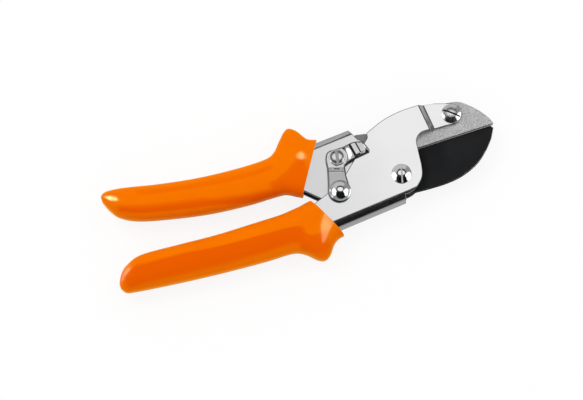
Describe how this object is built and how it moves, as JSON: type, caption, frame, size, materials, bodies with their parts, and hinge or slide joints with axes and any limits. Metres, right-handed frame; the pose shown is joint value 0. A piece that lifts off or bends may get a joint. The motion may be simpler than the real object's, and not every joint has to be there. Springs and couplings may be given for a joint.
{
  "type": "anvil pruning shears",
  "caption": "Anvil pruning shears with nested pressed steel frames, coated blade, blasted anvil, thumb latch with stud and dipped plastic grips, shown closed",
  "frame": {"origin": "on the pivot's axis, at the surface the tool lies on, which is the back face of the pivot nut", "axes": "+X along the anvil's face toward the tip, +Y toward the back of the anvil, +Z out of the front cheek, up from the surface"},
  "size_m": [0.2096, 0.0714, 0.0216],
  "materials": {
    "polished_steel": "polished pressed steel sheet",
    "bright_fasteners": "polished turned and stamped steel",
    "plain_steel": "plain machined steel",
    "blasted_anvil": "fine sandblasted grey",
    "coated_blade": "black low friction coating, satin",
    "orange_grip": "glossy dipped soft plastic"
  },
  "bodies": {
    "lower": {"lower_frame": "polished_steel", "lower_grip": "orange_grip", "anvil": "blasted_anvil", "anvil_screw": "bright_fasteners", "anvil_nut": "plain_steel", "pivot_bolt": "bright_fasteners", "pivot_nut": "plain_steel", "pivot_washer_front": "plain_steel", "pivot_washer_back": "plain_steel", "lock_stud": "bright_fasteners", "spring_seat_lower": "plain_steel", "return_spring": "plain_steel"},
    "upper": {"upper_frame": "polished_steel", "upper_grip": "orange_grip", "blade": "coated_blade", "blade_rivet_upper": "plain_steel", "blade_rivet_lower": "plain_steel", "pivot_bush": "plain_steel", "latch_screw": "bright_fasteners", "latch_nut": "plain_steel", "latch_washer": "plain_steel", "spring_seat_upper": "plain_steel"},
    "latch": {"lock_lever": "bright_fasteners"}
  },
  "joints": [
    {"name": "jaw_hinge", "type": "hinge", "parent": "lower", "child": "upper", "pos_m": [0, 0, 0.009], "axis": [0, 0, -1], "range_deg": [0, 26], "stiffness_Nm_per_rad": 0.4, "springref_deg": 60.16, "deforming": ["return_spring"]},
    {"name": "latch_hinge", "type": "hinge", "parent": "upper", "child": "latch", "pos_m": [-0.0286, 0.0188, 0.0155], "axis": [0, 0, 1], "range_deg": [0, 11]}
  ]
}
